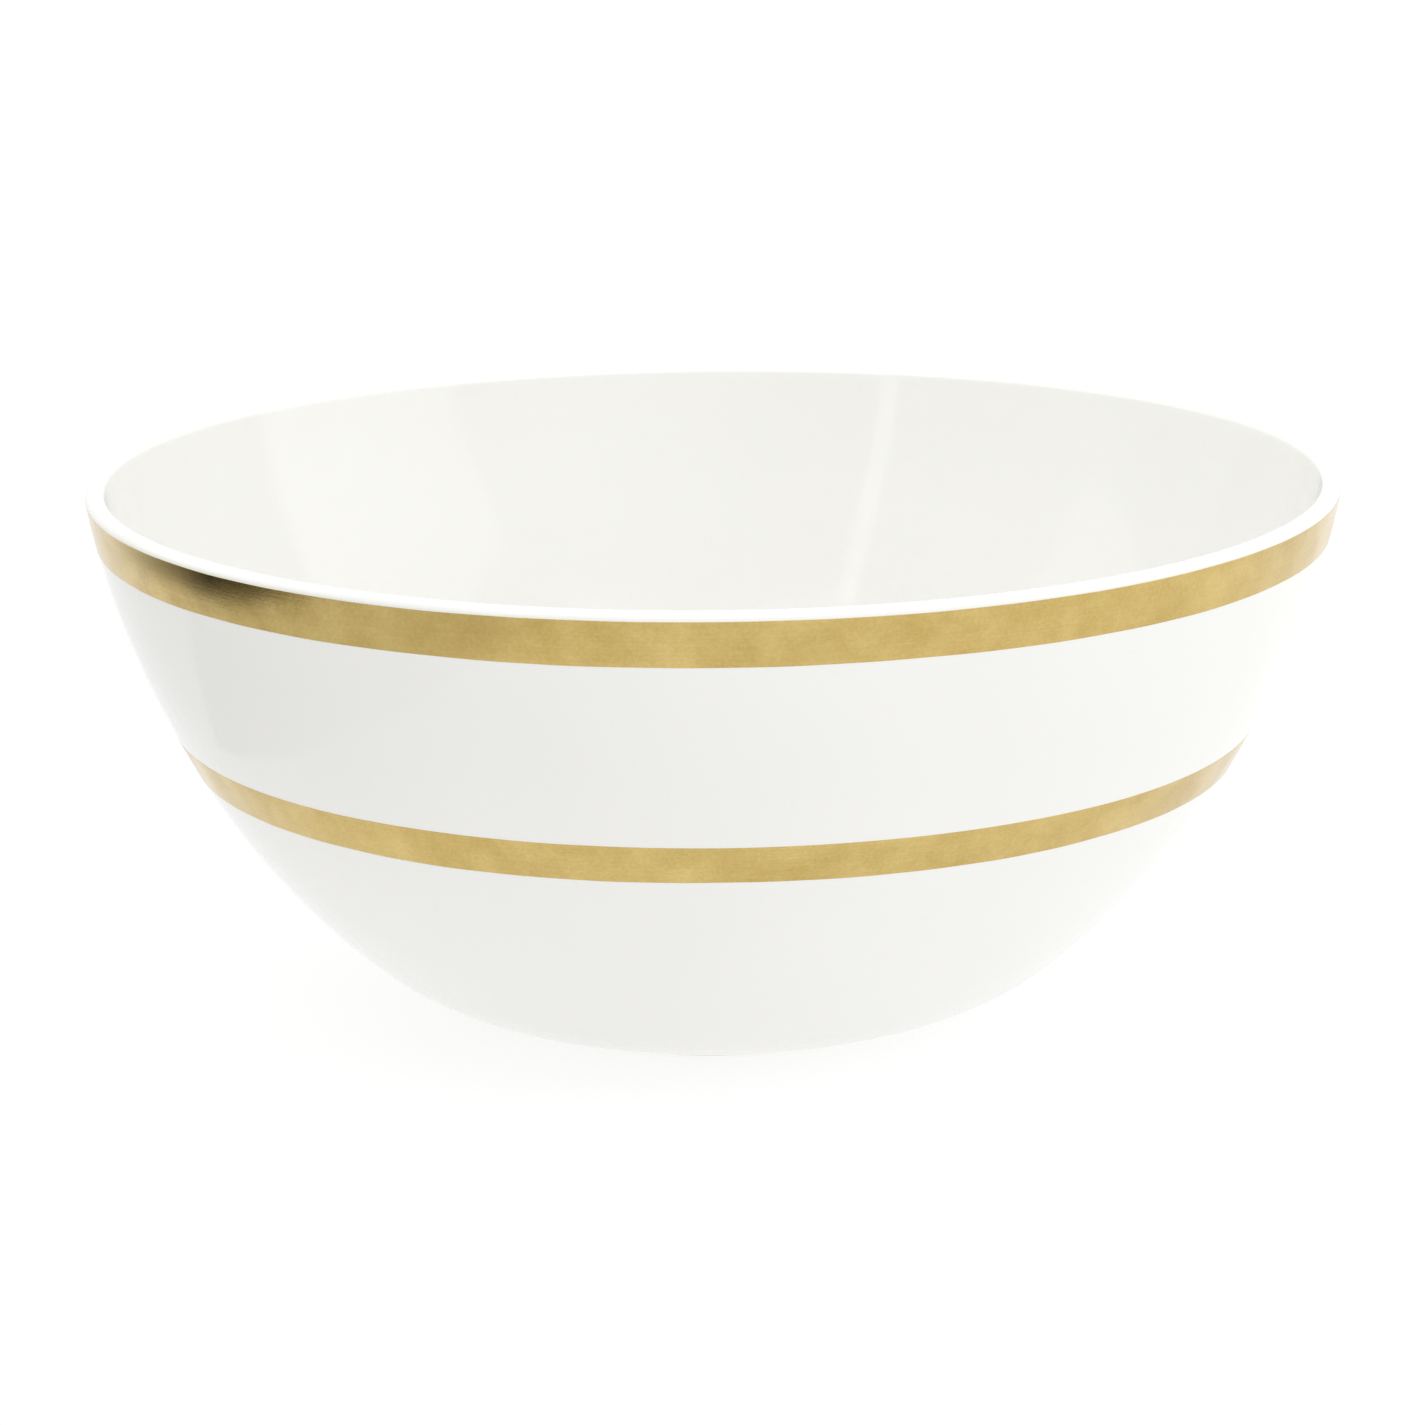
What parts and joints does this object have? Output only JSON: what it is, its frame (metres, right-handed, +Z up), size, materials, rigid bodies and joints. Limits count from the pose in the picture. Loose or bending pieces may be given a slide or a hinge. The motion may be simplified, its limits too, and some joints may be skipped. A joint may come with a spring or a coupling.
{
  "type": "serving bowl",
  "caption": "Deep round white glazed porcelain serving bowl with a rounded lip, a low recessed foot ring and gold bands round the outside.",
  "frame": {"origin": "middle of the foot ring's underside, on the surface that the bowl stands on", "axes": "+Z up along the bowl's own axis, X and Y across the rim; the bowl is round, so no side is its front"},
  "size_m": [0.25, 0.25, 0.108],
  "materials": {
    "glazed_porcelain": "clear glossy glaze over warm white porcelain",
    "bare_porcelain": "matte unglazed porcelain, ground smooth where it stands",
    "fired_gold": "polished fired gold with a fine brushed grain"
  },
  "bodies": {
    "root": {"bowl_body": "glazed_porcelain", "foot_ring": "bare_porcelain", "upper_gold_band": "fired_gold", "lower_gold_band": "fired_gold"}
  },
  "joints": []
}
